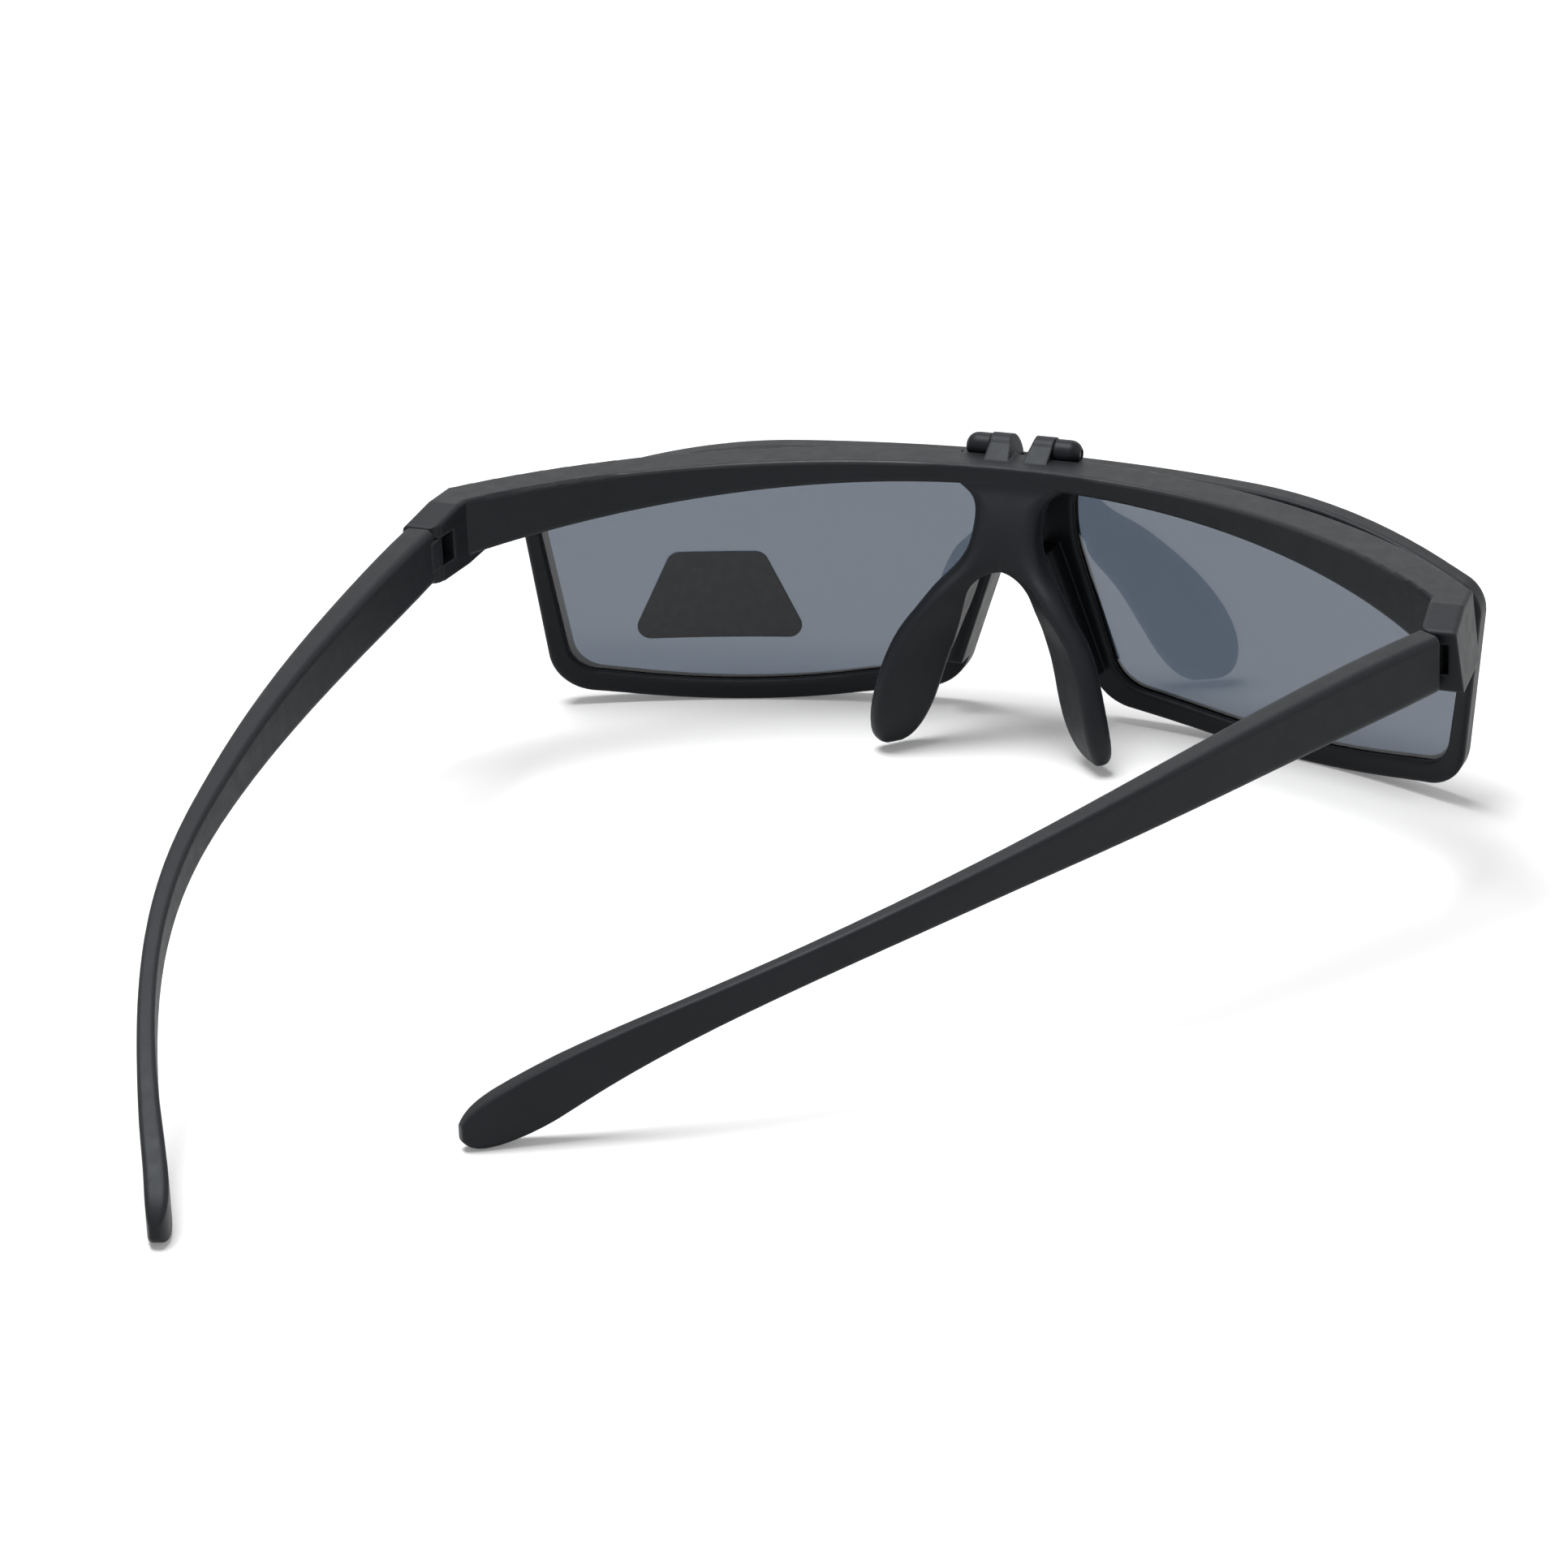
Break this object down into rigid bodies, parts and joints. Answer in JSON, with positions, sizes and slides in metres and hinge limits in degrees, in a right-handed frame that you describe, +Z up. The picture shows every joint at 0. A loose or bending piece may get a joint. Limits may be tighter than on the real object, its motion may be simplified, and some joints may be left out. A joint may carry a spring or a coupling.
{
  "type": "flip-up sunglasses",
  "caption": "Flip-up sunglasses: a matt black brow bar with nose legs and folding temples carries a hinged full-rim front whose tinted lenses swing up and forward.",
  "frame": {"origin": "Middle of the whole part's footprint, on the table it stands on.", "axes": "+Z is up, the lenses look along -Y, the temples run back along +Y, and the wearer's left is +X."},
  "size_m": [0.1452, 0.1806, 0.0406],
  "materials": {
    "frame_plastic": "fine matt grain, black",
    "temple_plastic": "fine matt grain, black",
    "rim_plastic": "satin black",
    "lens_tint": "polished, grey tint",
    "film": "dark matt film",
    "steel": "plain"
  },
  "bodies": {
    "front": {"brow_frame": "frame_plastic", "left_temple_screw": "steel", "right_temple_screw": "steel", "left_flip_pin": "steel", "right_flip_pin": "steel"},
    "left_temple": {"left_temple": "temple_plastic"},
    "right_temple": {"right_temple": "temple_plastic"},
    "flip_front": {"flip_frame": "rim_plastic", "left_lens": "lens_tint", "right_lens": "lens_tint", "lens_film": "film"}
  },
  "joints": [
    {"name": "left_temple_fold", "type": "hinge", "parent": "front", "child": "left_temple", "pos_m": [0.06835, -0.04387, 0.03139], "axis": [0, 0, 1], "range_deg": [0, 22]},
    {"name": "right_temple_fold", "type": "hinge", "parent": "front", "child": "right_temple", "pos_m": [-0.06835, -0.04387, 0.03139], "axis": [0, 0, -1], "range_deg": [-33, 45]},
    {"name": "flip_up", "type": "hinge", "parent": "front", "child": "flip_front", "pos_m": [0, -0.08712, 0.03859], "axis": [-1, 0, 0], "range_deg": [0, 95]}
  ]
}
